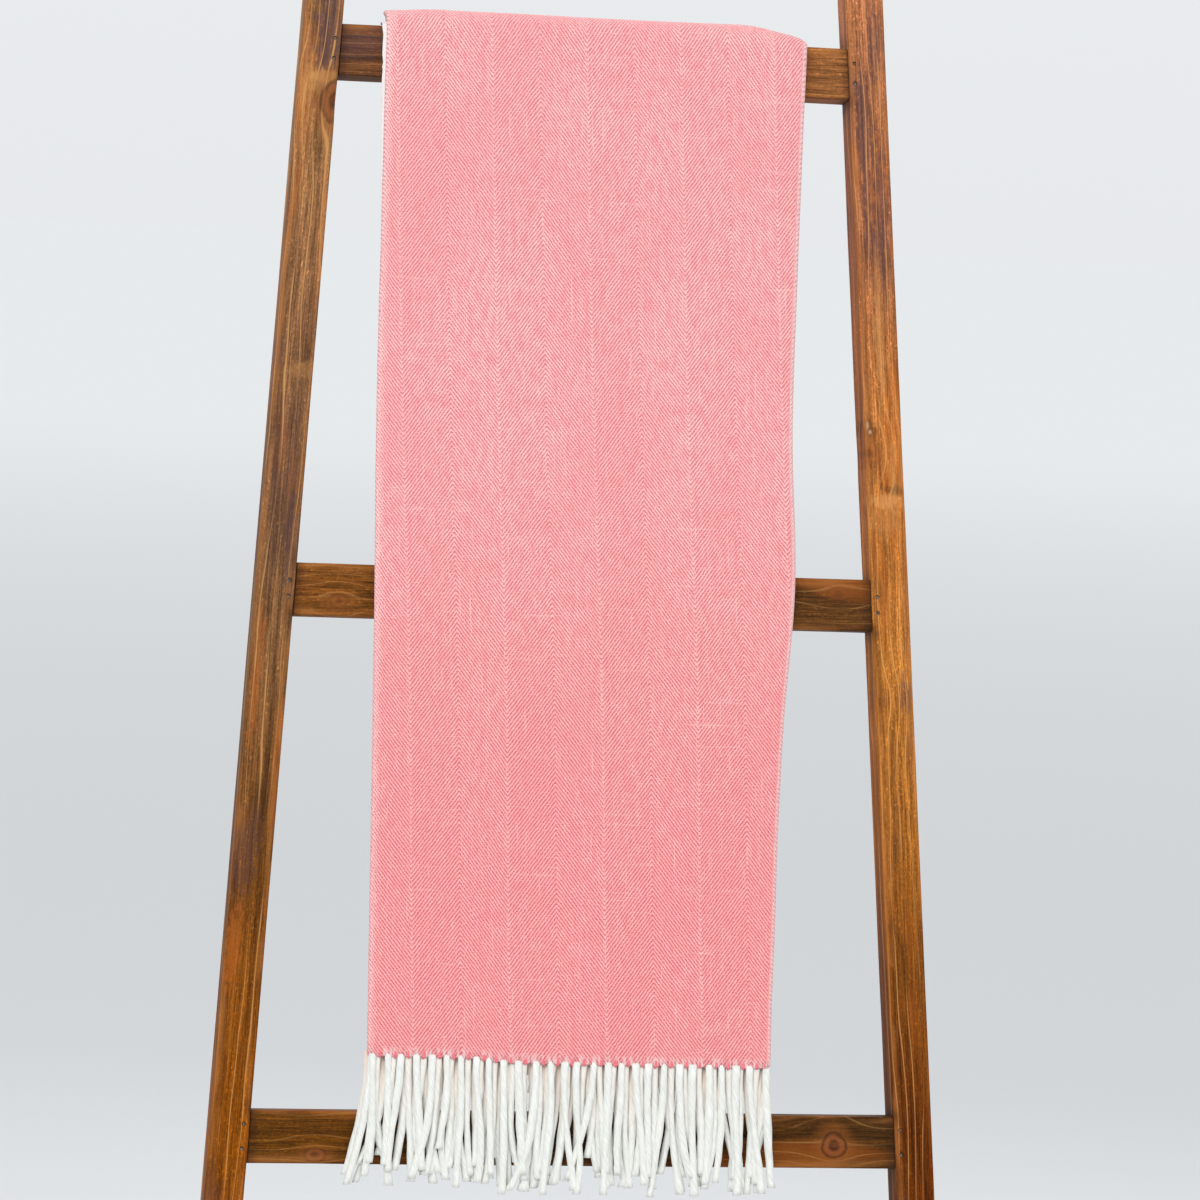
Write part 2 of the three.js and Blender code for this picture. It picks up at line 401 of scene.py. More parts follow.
def stainedPine():
    w = Wiring("stainedPine")
    place = w.attribute("grainPlace")
    # the stain's tone, with the painted sheen that pales the rails towards the top
    tone = w.attribute("stainTone")
    across, depth = w.apart(place)[1:]

    # distance from one of the listed spots, in its own half length and half width
    def distanceFrom(board, start, side, long, wide):
        centre = (start + boardSpacing * boardOrder.index(board), side, 0)
        away = w.vector("SUBTRACT", place, centre)
        scaled = w.vector("MULTIPLY", away, (1 / long, 1 / wide, 0))
        return w.apart(away)[1], w.vector("LENGTH", scaled, output="Value")

    nearest = 9.0
    knotDepth = 0.0
    pushed = 0.0
    for board, start, side, long, wide, deep in knots:
        aside, distance = distanceFrom(board, start, side, long, wide)
        nearest = w.math("MINIMUM", distance, nearest)
        here = w.times(w.math("LESS_THAN", distance, 2.6), deep)
        knotDepth = w.math("MAXIMUM", here, knotDepth)
        fall = w.math("POWER", 2.718, w.times(w.times(distance, distance), -0.13))
        pushed = w.plus(w.times(aside, fall), pushed)
    # growth rings, drawn out along the board and wandering
    slow = w.grain(place, (3.4, 22, 22))
    quick = w.grain(place, (16, 120, 120), 3.0)
    line = w.total((across, 1.0), (pushed, -0.90), (slow, 0.030), (quick, 0.0022), (depth, 0.35))
    ring = w.math("FRACT", w.times(line, pine["ringsPerMetre"]))
    lateWood = w.times(w.span(ring, 0.84, 0.94, smooth=True), w.span(ring, 1.0, 0.97))
    seen = w.grain(place, (7, 60, 60))
    seen = w.plus(seen, w.span(nearest, 6.0, 2.0, 0.0, 0.10))     # late wood is densest round a knot
    lateWood = w.times(lateWood, w.span(seen, 0.42, 0.58, 0.08, 1.0))
    # worn edges, painted shade at the joints, and how strongly the late wood lines show
    wearAndShade = w.apart(w.attribute("edgeWear"))
    lateWood = w.times(lateWood, wearAndShade[2])
    earlyWood = w.span(w.math("ABSOLUTE", w.minus(ring, 0.45)), 0.30, 0.05, smooth=True)
    # fibres, pores and the unevenly taken stain
    fibre = w.grain(place, (4.5, 360, 360), 4.0, 0.6)
    pore = w.grain(place, (36, 1150, 1150))
    fleck = w.grain(place, (380, 620, 620), 1.0)
    grit = w.grain(place, (420, 820, 820))
    tatter = w.grain(place, (130, 330, 330), 3.0)
    cloud = w.grain(place, (9, 70, 70), 4.0, 0.6)
    patch = w.grain(place, (6.0, 26, 26))
    warm = w.grain(w.vector("ADD", place, (3, 3, 3)), (7, 34, 34))
    value = w.span(fibre, 0.32, 0.68, 0.62, 1.28)
    for part, *limits in ((pore, 0.32, 0.68, 0.52, 1.36), (cloud, 0.34, 0.66, 0.80, 1.17),
                          (earlyWood, 0.0, 1.0, 1.04, 0.80), (fleck, 0.64, 0.74, 1.0, 1.8),
                          (grit, 0.25, 0.75, 0.66, 1.34)):
        value = w.times(value, w.span(part, *limits))
    body = w.mix(1.0, tone, w.together(value, value, value), "MULTIPLY")
    body = w.mix(w.span(warm, 0.54, 0.68, 0.0, 0.26, smooth=True), body, pine["orange"])
    body = w.mix(w.span(patch, 0.56, 0.70, 0.0, 0.32, smooth=True), body, pine["plum"])
    for board, start, side, long, wide, strength, colour in marks:
        distance = distanceFrom(board, start, side, long, wide)[1]
        torn = w.plus(w.minus(cloud, 0.5), w.minus(tatter, 0.5))
        ragged = w.plus(distance, w.times(torn, 2.2))
        share = w.span(ragged, 1.35, 0.55, 0.0, strength, smooth=True)
        share = w.times(share, w.span(fibre, 0.30, 0.62, 1.0, 0.55))
        body = w.mix(share, body, pine[colour])
    body = w.mix(w.times(lateWood, 0.85), body, w.mix(0.5, tone, pine["lineTone"]))
    # knots: a red brown heart with fine rings and a dark, ragged rim
    edged = w.plus(nearest, w.times(w.minus(quick, 0.5), 0.85))
    halo = w.times(w.span(edged, 2.4, 1.1, 0.0, 0.35, smooth=True), knotDepth)
    heart = w.times(w.span(edged, 1.05, 0.80, smooth=True), knotDepth)
    hoop = w.math("PINGPONG", w.times(edged, 3.2), 1.0)
    rim = w.span(w.math("ABSOLUTE", w.minus(edged, 1.0)), 0.20, 0.02, smooth=True)
    rim = w.times(rim, w.times(knotDepth, knotDepth))
    core = w.times(w.span(edged, 0.58, 0.16, smooth=True), knotDepth)
    heartTone = w.mix(w.span(hoop, 0.3, 0.9, 0.0, 0.45), pine["knotHeart"], rgb(74, 40, 30))
    chipped = w.times(core, w.span(tatter, 0.38, 0.56, 0.5, 1.0))
    # the stain is rubbed off the eased edges, and painted shade darkens the corners of the joints and the
    # insides of the mortises and brad holes
    rubbed = w.times(wearAndShade[0], w.span(quick, 0.40, 0.62))
    for share, strength, tint in ((halo, 1.0, rgb(146, 84, 38)), (heart, 0.68, heartTone),
                                  (rim, 0.60, pine["dark"]), (chipped, 0.88, pine["dark"]),
                                  (rubbed, 0.40, rgb(186, 118, 62)), (wearAndShade[1], 0.75, rgb(40, 22, 12))):
        body = w.mix(w.times(share, strength), body, tint)
    rough = w.span(fibre, 0.2, 0.8, pine["roughness"] - 0.1, pine["roughness"] + 0.18)
    w.bump(w.total((fibre, 0.7), (lateWood, 0.30), (pore, 0.25), (core, -0.6)), 0.0007, 0.6)
    return w.finish(Base_Color=body, Roughness=rough, Specular_IOR_Level=0.07)


pineMaterial = stainedPine()


# points round a board's section, and 1 for those on its eased edges
def easedSection(width, depth, radius, edgeSteps=4, flatSteps=5):
    arcs = []
    for turn, (sx, sy) in enumerate(((1, -1), (1, 1), (-1, 1), (-1, -1))):
        cx, cy = sx * (width / 2 - radius), sy * (depth / 2 - radius)
        angles = [math.radians(90 * (turn - 1 + step / edgeSteps)) for step in range(edgeSteps + 1)]
        arcs.append([(cx + radius * math.cos(a), cy + radius * math.sin(a), 1.0) for a in angles])
    ring = []
    for arc, following in zip(arcs, arcs[1:] + arcs[:1]):
        ring += arc
        for step in range(1, flatSteps):
            x, y = (between(p, q, step / flatSteps) for p, q in zip(arc[-1][:2], following[0][:2]))
            ring.append((x, y, 0.0))
    return ring


# joins closed rings of points into one capped body, with a vector attribute per point
def loft(name, rings, material, **attributes):
    count = len(rings[0])
    points = [point for ring in rings for point in ring]
    faces = []
    for row in range(len(rings) - 1):
        for k in range(count):
            a, b = row * count + k, row * count + (k + 1) % count
            faces.append((a, b, b + count, a + count))
    faces.append(tuple(reversed(range(count))))
    faces.append(tuple(range(len(points) - count, len(points))))
    made = makeObject(name, points, faces, material)
    faceOutward(made)
    writeAttributes(made, **attributes)
    return made


boards = {
    "railEase": 0.0018,
    "rungEase": 0.0026,
    "easeChange": 0.45,       # share by which the hand-sanded edges vary
    "railStations": 170,
    "rungStations": 74,
    "handWaver": 0.00022,     # how far the surfaces wander from flat
    "knotDish": 0.0007,
}


# hand-sanding: edges eased unevenly, faces a touch wavy, knots slightly dished
def boardPoint(board, along, across, depth, isEdge):
    seed = boardOrder.index(board) * 11.0
    waver = uneven(along * 9 + seed, across * 25, depth * 25) * boards["handWaver"]
    ease = 1.0
    if isEdge:
        worn = uneven(along * 16 + seed * 2, across * 60, depth * 60)
        ease -= 0.02 * boards["easeChange"] * (1 + worn)
    dish = 0.0
    for name, start, side, long, wide, deep in knots:
        if name == board:
            r = math.hypot((along - start) / long, (across - side) / wide)
            dish += deep * boards["knotDish"] * math.exp(-r * r * 1.2)
    size = math.hypot(across, depth) or 1
    push = 1 + (waver - dish) / size
    return across * ease * push, depth * ease * push


def makeRail(name, side):
    section = easedSection(railWidth, railDepth, boards["railEase"])
    rings = []
    stations = boards["railStations"]
    ends = [0.0, 0.0006, 0.002]
    steps = ends + [0.002 + (railLength - 0.004) * k / stations for k in range(1, stations)]
    steps += [railLength - end for end in reversed(ends)]
    for along in steps:
        ring = []
        fromEnd = min(along, railLength - along)
        tuck = 1 - 0.045 * math.exp(-fromEnd / 0.0008)      # eased end
        for across, depth, edge in section:
            x, out = boardPoint(name, along, across, depth, edge)
            x, out = x * tuck, out * tuck
            level = -out * math.tan(leanAngle) * max(0.0, 1 - along / 0.02)   # the foot is cut level
            ring.append(spot(side * (innerHalf(along) + railWidth / 2) + x, out, along + level))
        rings.append(ring)
    return loft("rail" + ("Left" if side < 0 else "Right"), rings, pineMaterial)


# gives every point of a finished rail its place in the grain, its stain with painted sheen, its worn
# edges and its painted shade at the joints
def grainRail(rail, name, side):
    order = boardOrder.index(name)
    joints = [height + way * rungHeight / 2 for height in rungHeights for way in (-1, 1)]
    places, tones, wearsAndShades = [], [], []
    for vertex in rail.data.vertices:
        local = vertex.co - footPoint
        along, out = local.dot(upSlope), local.dot(outFront)
        across = vertex.co.x - side * (innerHalf(along) + railWidth / 2)
        places.append((order * boardSpacing + along, across, out))
        tones.append(stainTone(name, along))
        fromSide = railWidth / 2 - abs(across)
        fromFace = railDepth / 2 - abs(out)
        edge = float(max(fromSide, fromFace) < boards["railEase"] * 1.1)
        inward = float(across * side < 0 and fromSide < 0.002)
        close = float(min(abs(along - height) for height in rungHeights) < 0.03)
        # painted shade: dark inside the mortises and brad holes, and in the inner corners next to each
        # joint
        buried = float(min(fromSide, fromFace) > 0.0012)
        joinShade = max(math.exp(-abs(along - joint) / 0.004) for joint in joints)
        corner = inward * joinShade * close * 0.8
        wearsAndShades.append((edge * (1 - buried), max(corner, buried), 1.0))
    writeAttributes(rail, grainPlace=places, stainTone=tones, edgeWear=wearsAndShades)
    rail.data.set_sharp_from_angle(angle=math.radians(38))


def makeRung(name):
    order = boardOrder.index(name)
    height = rungHeights[rungNames.index(name)]
    full = easedSection(rungHeight, rungDepth, boards["rungEase"])
    tenon = easedSection(ladder["tenonHeight"], ladder["tenonDepth"], 0.0006)
    half = innerHalf(height)
    stations = boards["rungStations"]
    rings, places, tones, wearsAndShades = [], [], [], []

    def addRing(section, x, follow, shade):
        ring = []
        for up, out, edge in section:
            along = x + half + ladder["tenonLength"]
            if section is full:
                up, out = boardPoint(name, along, up, out, edge)
            ring.append(spot(x - follow * up * taper, out, height + up))
            places.append((order * boardSpacing + along, up, out))
            tones.append(stainTone(name, along))
            wearsAndShades.append((edge if section is full else 0.0, shade, 0.4))
        rings.append(ring)

    shoulder = half - ladder["shoulderGap"]
    tip = half + ladder["tenonLength"]
    addRing(tenon, -tip, 0, 0)
    addRing(tenon, -shoulder, -1, 1)
    addRing(full, -shoulder, -1, 1)
    for k in range(stations + 1):
        lean = 2 * k / stations - 1
        x = (shoulder - 0.0012) * lean
        # painted shade, darkest at the shoulders where the rung meets the rails
        shade = math.exp(-(shoulder - abs(x)) / 0.003)
        addRing(full, x, lean, shade)
    addRing(full, shoulder, 1, 1)
    addRing(tenon, shoulder, 1, 1)
    addRing(tenon, tip, 0, 0)
    rung = loft(name.replace("_", ""), rings, pineMaterial,
                grainPlace=places, stainTone=tones, edgeWear=wearsAndShades)
    rung.data.set_sharp_from_angle(angle=math.radians(38))
    return rung


# cuts the mortises and the holes for the brads
def cutRail(rail, side):
    bm = bmesh.new()
    clear = ladder["mortiseGap"]
    halfDepth = ladder["tenonDepth"] / 2 + clear
    halfHeight = ladder["tenonHeight"] / 2 + clear
    for height in rungHeights:
        half = innerHalf(height)
        corners = []
        for x in (side * (half - 0.01), side * (half + ladder["tenonLength"] + clear)):
            for out in (-halfDepth, halfDepth):
                for up in (-halfHeight, halfHeight):
                    corners.append(bm.verts.new(spot(x, out, height + up)))
        for quad in ((0, 1, 3, 2), (4, 6, 7, 5), (0, 4, 5, 1), (2, 3, 7, 6), (0, 2, 6, 4), (1, 5, 7, 3)):
            bm.faces.new([corners[k] for k in quad])
    sideName = "left" if side < 0 else "right"
    for index in range(len(rungNames)):
        for row in ("upper", "lower"):
            low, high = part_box(f"brad_{sideName}_{index + 1}_{row}")
            drillHole(bm, (low + high) / 2, (high - low).x / 2)
    bmesh.ops.recalc_face_normals(bm, faces=bm.faces)
    cutter = makeObject("cutter", [], [], pineMaterial)
    bm.to_mesh(cutter.data)
    bm.free()
    cut = rail.modifiers.new("joints", "BOOLEAN")
    cut.operation = "DIFFERENCE"
    cut.solver = "EXACT"
    cut.object = cutter
    applyModifiers(rail)
    bpy.data.objects.remove(cutter)


# a stepped round hole from in front of the rail, for one brad
def drillHole(bm, middle, headRadius):
    holeSides = brad["holeSides"]
    front = railDepth / 2
    wide, narrow = headRadius + brad["gap"], headRadius - brad["shankInset"]
    shoulder, bottom = front - brad["headDepth"], front - brad["tipDepth"]
    up = (middle - footPoint).dot(upSlope)
    x = middle.x
    profile = ((0.0, front + 0.004), (wide, front + 0.004), (wide, shoulder), (narrow, shoulder),
               (narrow, bottom), (0.0, bottom))
    turns = [math.tau * k / holeSides for k in range(holeSides)]
    rows = []
    for radius, out in profile:
        if radius == 0.0:
            rows.append([bm.verts.new(spot(x, out, up))] * holeSides)
            continue
        rows.append([bm.verts.new(spot(x + radius * math.cos(turn), out, up + radius * math.sin(turn)))
                     for turn in turns])
    for a, b in zip(rows, rows[1:]):
        for k in range(holeSides):
            n = (k + 1) % holeSides
            bm.faces.new(list(dict.fromkeys((a[k], a[n], b[n], b[k]))))


for railName, railSide in (("rail_left", -1), ("rail_right", 1)):
    rail = makeRail(railName, railSide)
    cutRail(rail, railSide)
    grainRail(rail, railName, railSide)
    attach(rail, "ladder")
    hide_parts(railName)
for rungName in rungNames:
    rung = makeRung(rungName)
    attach(rung, "ladder")
    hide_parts(rungName)
print("rails and rungs")


# brads
def dullSteel():
    w = Wiring("dullSteel")
    place = w.place("Object")
    grime = w.noise(place, 900.0, 3.0)
    tone = w.mix(w.span(grime, 0.4, 0.65), rgb(76, 62, 52), rgb(140, 118, 98))
    w.bump(grime, 0.0002, 0.5)
    return w.finish(Base_Color=tone, Roughness=w.span(grime, 0.3, 0.7, 0.35, 0.65), Metallic=0.85)


steelMaterial = dullSteel()
for nodeName, node in nodes.items():
    if nodeName.startswith("brad_"):
        node.data.materials.clear()
        node.data.materials.append(steelMaterial)
print("brads")


# herringbone throw
throw = {
    "flatWidth": 1.27,
    "flatLength": 1.524,
    "clearance": 0.0005,
    "layerGap": 0.0024,          # from the middle of one folded layer to the next
    "thickness": 0.0016,
    "frontDrop": 0.762,          # down the slope from the rung's top to the outer hem
    "crownRise": 0.0020,
    "crownLoft": 0.16,           # how much looser the layers lie over the rung
    "crownPuff": 0.0020,
    "cornerDrop": 0.0072,        # the crown rounds down to the right fold by this much
    "rungEase": 0.0024,
    "rightAtTop": 0.1580,
    "rightAtFrontHem": 0.1433,
    "leftAtTop": -0.1588,
    "leftAtFrontHem": -0.1558,
    "rightAtBackHem": 0.1640,
    "leftAtBackHem": -0.1270,
    "hemTilt": 0.003,            # the hem hangs this much lower on the right
    "hemStep": 0.0030,
    "sag": 0.0038,               # the panel sinks this far between the rungs
    "pressOut": 0.0060,          # the right fold bulges where it lies on the middle rung
    "leftBow": 0.0016,
    "warpAtTop": 0.0955,         # one line of the weave, which hangs askew to the folds
    "warpAtFrontHem": 0.1290,
    "ripple": 0.0030,
    "innerFoldInset": 0.009,
    "selvedgePeek": 0.0034,      # the white selvedge shows beyond the left fold near the top
}
weaveColumns = {
    "width": 0.0359,
    "first": 0.0155,
    "pitch": 0.00354,        # up the cloth, from one twill line to the next
    "steep": 1.33,
    "before": 39,            # whole columns left of the first one; odd, so that it starts in a valley
    "stretchAtTop": 1.012,
    "slack": 0.014,          # stretch lost from the top to the front hem
}
rungTop = rungHeights[-1] + rungHeight / 2
frontFace = rungDepth / 2 + throw["clearance"]
bendCache = {}


# the bend over the rung at one distance out: its points, and lengths from its middle
def bendTable(out):
    key = round(out, 5)
    if key not in bendCache:
        rise = throw["rungEase"] + throw["clearance"] + throw["crownRise"] + key
        start = spot(0, frontFace + key, rungTop - throw["rungEase"])
        end = spot(0, -rungDepth / 2, rungTop - throw["rungEase"])
        end.y += throw["clearance"] + key
        handles = (start, start + upSlope * rise * 1.3, end + Vector((0, 0, rise * 1.3)), end)
        steps = 24
        points = []
        for k in range(steps + 1):
            t = k / steps
            weights = ((1 - t) ** 3, 3 * t * (1 - t) ** 2, 3 * t * t * (1 - t), t ** 3)
            points.append(sum((p * q for p, q in zip(handles, weights)), Vector()))
        lengths = [0.0]
        for a, b in zip(points, points[1:]):
            lengths.append(lengths[-1] + (b - a).length)
        middle = lengths[steps // 2]
        bendCache[key] = (points, [length - middle for length in lengths])
    return bendCache[key]


outerOut = 3.5 * throw["layerGap"]
frontRun = throw["frontDrop"] - throw["rungEase"] - bendTable(outerOut)[1][0]
backRun = throw["flatLength"] - frontRun


def smooth(x, low, high):
    t = min(max((x - low) / (high - low), 0), 1)
    return t * t * (3 - 2 * t)


# inner layers bend round a smaller curve, so their spare length is eased in below the rung
def easedRun(run, out):
    spare = bendTable(outerOut)[1][0] - bendTable(out)[1][0]
    spare -= 0.0022 * min(1.0, (outerOut - out) / throw["layerGap"])
    shift = spare * smooth(abs(run), 0.05, 0.5)
    return run - shift if run < 0 else run + shift


# a point of the hung throw: across, out from what it lies on, and along from the rung's top
def drapePoint(x, out, run):
    points, lengths = bendTable(out)
    if run <= lengths[0]:
        down = lengths[0] - run
        up = rungTop - throw["rungEase"] - down
        midway = 0.0
        for low, high in zip(rungHeights, rungHeights[1:]):
            if low < up < high:
                midway = math.sin(math.pi * (up - low) / (high - low)) ** 2
        soft = smooth(down, 0.05, 0.75)
        wave = 0.5 + 0.5 * uneven(x * 9, run * 3.2, 4.1)
        push = throw["ripple"] * soft * wave - throw["sag"] * midway
        push += 0.0007 * uneven(x * 22, run * 12, 9.7) * (0.3 + 0.7 * midway)
        return points[0] - upSlope * down + outFront * push + Vector((x, 0, 0))
    if run >= lengths[-1]:
        down = run - lengths[-1]
        soft = smooth(down, 0.02, 0.70)
        wave = uneven(x * 8, run * 2.6, 17.3)
        push = throw["ripple"] * 1.2 * soft * wave
        return points[-1] + Vector((x, push, -down))
    for k in range(len(points) - 1):
        if lengths[k] <= run <= lengths[k + 1]:
            share = (run - lengths[k]) / (lengths[k + 1] - lengths[k])
            puff = throw["crownPuff"] * (1.0 + 0.8 * uneven(x * 11, 2.2, run * 9))
            inward = throw["rightAtTop"] - x
            puff *= smooth(inward, 0.0, 0.05) * smooth(x - throw["leftAtTop"], 0.0, 0.04)
            drop = 0.62 * (1 - smooth(inward, 0.0, 0.046)) + 0.38 * (1 - smooth(inward, 0.0, 0.010))
            puff -= throw["cornerDrop"] * drop * min(1.0, out / outerOut)
            place = points[k].lerp(points[k + 1], share)
            lift = math.sin(math.pi * (k + share) / (len(points) - 1))
            return place + Vector((x, 0, puff * lift))
    return points[-1] + Vector((x, 0, 0))


# 1 at the middle, falling away either side
def swell(x, middle, width):
    return math.exp(-((x - middle) / width) ** 2)


# where the two folds lie: the throw hangs plumb, a touch askew to the ladder
def edges(run):
    share, hem = (-run / frontRun, "FrontHem") if run < 0 else (run / backRun, "BackHem")
    right = between(throw["rightAtTop"], throw["rightAt" + hem], share)
    left = between(throw["leftAtTop"], throw["leftAt" + hem], share if run < 0 else share ** 0.55)
    if run < 0:
        up = rungTop + run
        right += throw["pressOut"] * swell(up, rungHeights[-2] - 0.014, 0.075)
        left -= throw["leftBow"] * swell(share, 0.45, 0.25)
    right += 0.0006 * uneven(3.3, run * 14, 0)
    left += 0.0006 * uneven(8.8, run * 15, 0)
    return left, right


# how far the weave's columns are shifted and stretched from the right fold
def weaveShift(run, right):
    share = -run / frontRun
    line = between(throw["warpAtTop"], throw["warpAtFrontHem"], share)
    line += 0.0018 * swell(share, 0.68, 0.16)
    stretch = weaveColumns["stretchAtTop"] - weaveColumns["slack"] * min(max(share, 0), 1)
    return line + weaveColumns["first"] - right, stretch


# layer 0 is the outermost, 3 the one that lies on the rung, and they lie loosest over it
def layerOut(layer, run):
    loose = 1 + throw["crownLoft"] * (1 - smooth(abs(run), 0.012, 0.060))
    return throw["layerGap"] * (0.5 + (3 - layer) * loose)


# how much lower the cloth's threads hang at one place across the hem
def hemSlip(x):
    slip = throw["hemTilt"] * (x / (throw["rightAtTop"] - throw["leftAtTop"]))
    return slip + throw["hemStep"] * (smooth(x, -0.090, -0.045) - 0.4)


sectionPlan = []
for legName, legSteps in (("inner", 42), ("bigFold", 10), ("outer", 46), ("smallFold", 6),
                          ("second", 30), ("hiddenFold", 6), ("third", 30)):
    sectionPlan += [(legName, k / legSteps) for k in range(legSteps)]
sectionPlan.append(("third", 1.0))


# across, out, the flat cloth's own coordinate and the selvedge's whiteness, for one section
def sectionPoint(leg, share, run):
    left, right = edges(run)
    outs = [layerOut(layer, run) for layer in range(4)]
    bigRadius = (outs[0] - outs[3]) / 2
    smallRadius = (outs[0] - outs[1]) / 2
    width = right - left
    swing = math.pi * share
    if leg == "inner":
        peek = throw["selvedgePeek"] * (1 - smooth(-run, 0.02, 0.24)) * (1 if run < 0.1 else 0)
        peek *= 0.95 + 0.25 * uneven(5.5, run * 420, 0)
        start = left - peek + 0.0006
        x = between(start, right - bigRadius, share)
        return x, outs[3], x - right - 0.01, max(0.0, 1 - (x - start) / 0.0035)
    if leg == "bigFold":
        x = right - bigRadius + bigRadius * math.sin(swing)
        out = outs[3] + bigRadius * (1 - math.cos(swing))
        return x, out, -0.01 * (1 - share), 0.16
    if leg == "outer":
        start, end = right - bigRadius, left + smallRadius
        x = between(start, end, share)
        return x, outs[0], right - x, 0.0
    if leg == "smallFold":
        x = left + smallRadius - smallRadius * math.sin(swing)
        out = outs[0] - smallRadius * (1 - math.cos(swing))
        return x, out, width + 0.004 * share, 0.13
    inner = right - throw["innerFoldInset"]
    if leg == "second":
        x = between(left + smallRadius, inner, share)
        return x, outs[1], width + 0.004 + x - left, 0.0
    if leg == "hiddenFold":
        x = inner + smallRadius * math.sin(swing)
        out = outs[1] - smallRadius * (1 - math.cos(swing))
        return x, out, 2 * width + 0.004 * share, 0.0
    x = between(inner, left + 0.0015, share)
    return x, outs[2], 2 * width + 0.008 + inner - x, max(0.0, 1 - (x - left) / 0.004)


# rows along the throw, closer together over the rung
def runSteps():
    rows = [-frontRun + frontRun * k / 100 for k in range(94)]
    rows += [rows[-1] + (0.046 - rows[-1]) * k / 34 for k in range(1, 34)]
    rows += [0.046 + (backRun - 0.046) * k / 64 for k in range(65)]
    return rows


# coral and white herringbone, worked out from the flat cloth's own coordinates
def weave():
    w = Wiring("herringboneWeave")
    across, along, selvedge = w.apart(w.attribute("clothPlace"))
    columnWidth = weaveColumns["width"]
    place = w.together(across, along, 0.0)
    wobble = w.grain(place, (190, 70, 1))
    column = w.minus(across, weaveColumns["first"] - weaveColumns["before"] * columnWidth)
    chevron = w.math("PINGPONG", column, columnWidth)
    leaning = w.math("LESS_THAN", w.math("FRACT", w.math("DIVIDE", column, 2 * columnWidth)), 0.5)
    rise = w.minus(along, w.times(chevron, weaveColumns["steep"]))
    turns = w.plus(w.math("DIVIDE", rise, weaveColumns["pitch"]), w.times(wobble, 0.5))
    twill = w.times(w.math("PINGPONG", turns, 0.5), 2.0)
    # single yarns: the floats along each twill line
    yarn = w.math("PINGPONG", w.math("DIVIDE", across, 0.00105), 0.5)
    pick = w.math("PINGPONG", w.math("DIVIDE", along, 0.00125), 0.5)
    stitch = w.times(w.times(yarn, pick), 4.0)
    crumb = w.grain(place, (1050, 900, 1), 1.0)
    pale = w.span(w.plus(twill, w.times(w.minus(crumb, 0.5), 1.5)), 0.08, 0.66)
    # uneven dye, slubs along the warp and bars along the weft
    dye = w.grain(place, (240, 90, 1), 3.0)
    broad = w.grain(place, (13, 7, 1))
    slub = w.grain(place, (620, 17, 1))
    bar = w.grain(place, (14, 520, 1))
    high = w.span(along, 0.10, 0.55, smooth=True)
    paleTone = w.mix(high, rgb(255, 169, 167), rgb(255, 187, 185))
    darkTone = w.mix(high, rgb(196, 100, 105), rgb(196, 112, 117))
    paleTone = w.tinted(paleTone, (dye, 0.46, 0.66, 0.62, (248, 150, 154)),
                        (dye, 0.46, 0.28, 0.35, (255, 208, 204)),
                        (broad, 0.42, 0.62, 0.40, (255, 160, 162)))
    tone = w.tinted(w.mix(pale, darkTone, paleTone), (slub, 0.63, 0.76, 0.45, (240, 118, 126)),
                    (slub, 0.36, 0.26, 0.45, (255, 206, 202)),
                    (bar, 0.62, 0.78, 0.35, (255, 206, 203)))
    valley = w.times(w.span(chevron, 0.0018, 0.0004, 0.0, 0.26), w.span(crumb, 0.40, 0.60))
    tone = w.mix(valley, tone, rgb(255, 206, 202))
    shade = w.span(stitch, 0.0, 0.8, 0.88, 1.07)
    shade = w.times(shade, w.plus(w.times(leaning, 0.022), 0.989))
    tone = w.mix(1.0, tone, w.together(shade, shade, shade), "MULTIPLY")
    border = w.span(w.plus(selvedge, w.times(crumb, 0.3)), 0.2, 0.6)
    tone = w.mix(border, tone, rgb(244, 238, 236))
    # white warp ends creep into the cloth at both hems
    fromHem = w.math("MINIMUM", along, w.minus(throw["flatLength"], along))
    ends = w.grain(place, (430, 60, 1))
    creep = w.times(w.span(fromHem, 0.0080, 0.0008), w.span(ends, 0.44, 0.60))
    tone = w.mix(w.times(creep, 0.85), tone, rgb(255, 232, 230))
    w.bump(w.total((twill, 0.6), (stitch, 0.35), (crumb, 0.3)), 0.0004, 0.5)
    return w.finish(Base_Color=tone, Roughness=0.95, Sheen_Weight=0.20, Sheen_Roughness=0.6,
                    Specular_IOR_Level=0.15)


def makeThrow():
    rows = runSteps()
    points, places = [], []
    for row in rows:
        nearHem = smooth(abs(row), 0.3, frontRun)
        for leg, share in sectionPlan:
            x, out, flatAcross, white = sectionPoint(leg, share, row)
            shift, stretch = weaveShift(row, edges(row)[1])
            flatAcross = (flatAcross + shift) * stretch
            points.append(drapePoint(x, out, easedRun(row - hemSlip(x) * nearHem, out)))
            places.append((flatAcross, row + frontRun, white))
    count = len(sectionPlan)
    faces = []
    for r in range(len(rows) - 1):
        for k in range(count - 1):
            a = r * count + k
            faces.append((a, a + count, a + count + 1, a + 1))
    made = makeObject("hungThrow", points, faces, weave())
    writeAttributes(made, clothPlace=places)
    thick = made.modifiers.new("cloth", "SOLIDIFY")
    thick.thickness = throw["thickness"]
    thick.offset = 0
    return applyModifiers(made)


hungThrow = makeThrow()
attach(hungThrow, "hung_throw")
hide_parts("throw")
print("throw", len(hungThrow.data.polygons), "faces")


# fringe
fringe = {
    "pitch": 0.0108,
    "length": 0.090,
    "lengthSpread": 0.008,
    "radius": 0.00270,
    "sides": 10,
    "rings": 24,
    "lobes": 3,
    "lobeDepth": 0.07,
    "twist": 4.0,             # turns of the ply over one tassel
    "sway": 0.0036,
    "wander": 0.0064,
    "curl": 0.012,            # a few ends turn aside by up to this
    "leftSplay": 0.0075,
    "headRise": 0.0018,
    "tuftDrop": 0.0016,
    "paintedReflectionAndShade": rgb(238, 214, 196),        # painted light reflected from the coral and the wood, with painted shade, on the yarn of the back layers
}


